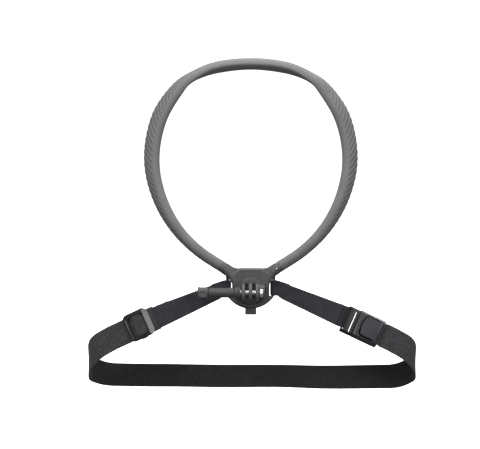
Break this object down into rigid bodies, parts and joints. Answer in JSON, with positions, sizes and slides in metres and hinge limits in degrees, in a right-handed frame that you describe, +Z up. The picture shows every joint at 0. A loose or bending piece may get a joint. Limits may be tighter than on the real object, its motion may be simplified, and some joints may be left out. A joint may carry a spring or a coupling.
{
  "type": "action camera neck mount",
  "caption": "Bendable neck ring with a chest plate that carries a swivelling three-finger camera mount with a long thumb screw, and an elastic chest strap with slider and clip buckle.",
  "frame": {"origin": "inner face of the neck band at the nape, where the band rests on the wearer's neck", "axes": "+X to the wearer's left (to the right seen from the front), +Y towards the wearer's chest, +Z up; -Y is the front"},
  "size_m": [0.3046, 0.0656, 0.3079],
  "materials": {
    "grey_silicone": "matte silicone",
    "dark_grey_plastic": "fine moulded texture",
    "black_plastic": "satin",
    "bright_steel": "bright",
    "aluminium_wire": "drawn",
    "elastic_webbing": "woven elastic",
    "tab_fabric": "smooth woven",
    "pad_foam": "soft matte"
  },
  "bodies": {
    "root": {"neck_sleeve": "grey_silicone", "core_wire": "aluminium_wire", "ferrule_left": "aluminium_wire", "ferrule_right": "aluminium_wire", "front_shell": "dark_grey_plastic", "locking_pin": "bright_steel", "rear_cover": "dark_grey_plastic", "rear_screw_left": "bright_steel", "rear_screw_right": "bright_steel", "chest_pad": "pad_foam", "retaining_ring": "bright_steel", "button_spring_left": "bright_steel", "button_spring_right": "bright_steel", "left_tab": "tab_fabric", "right_tab": "tab_fabric", "elastic_strap": "elastic_webbing", "buckle_male": "black_plastic"},
    "camera_mount": {"mount_insert": "dark_grey_plastic", "hex_nut": "bright_steel"},
    "screw_carriage": {"thrust_washer": "bright_steel"},
    "thumb_screw": {"screw_shaft": "bright_steel", "screw_grip": "dark_grey_plastic", "grip_cap": "dark_grey_plastic"},
    "release_button": {"release_button": "dark_grey_plastic"},
    "strap_slider": {"slider_frame": "black_plastic", "slider_loop": "elastic_webbing"},
    "buckle_shell": {"buckle_female": "black_plastic"},
    "buckle_tongue": {"buckle_button": "black_plastic"}
  },
  "joints": [
    {"name": "mount_swivel", "type": "hinge", "parent": "root", "child": "camera_mount", "pos_m": [0, 0, -0.197], "axis": [0, 1, 0], "range_deg": [-90, 90]},
    {"name": "screw_travel", "type": "slide", "parent": "camera_mount", "child": "screw_carriage", "axis": [-1, 0, 0], "range_m": [0, 0.0048]},
    {"name": "screw_turn", "type": "hinge", "parent": "screw_carriage", "child": "thumb_screw", "pos_m": [0, -0.0185, -0.197], "axis": [-1, 0, 0], "range_deg": [0, 2160.5]},
    {"name": "release_press", "type": "slide", "parent": "root", "child": "release_button", "axis": [0, 0, 1], "range_m": [0, 0.0022], "stiffness_N_per_m": 300, "springref_m": -0.001, "deforming": ["button_spring_left", "button_spring_right"]},
    {"name": "slider_adjust", "type": "slide", "parent": "root", "child": "strap_slider", "axis": [-0.9033, 0, -0.4289], "range_m": [0, 0.012]},
    {"name": "buckle_unplug", "type": "slide", "parent": "root", "child": "buckle_shell", "axis": [0.9033, 0, -0.4289], "range_m": [0, 0.013]},
    {"name": "tongue_press", "type": "hinge", "parent": "buckle_shell", "child": "buckle_tongue", "pos_m": [0.11396, -0.00349, -0.23519], "axis": [-0.4162, -0.2419, -0.8765], "range_deg": [0, 5], "stiffness_Nm_per_rad": 0.05, "springref_deg": -1.72}
  ],
  "couplings": [
    {"joint": "screw_turn", "follows": "screw_travel", "rad_per_m": 7854}
  ]
}
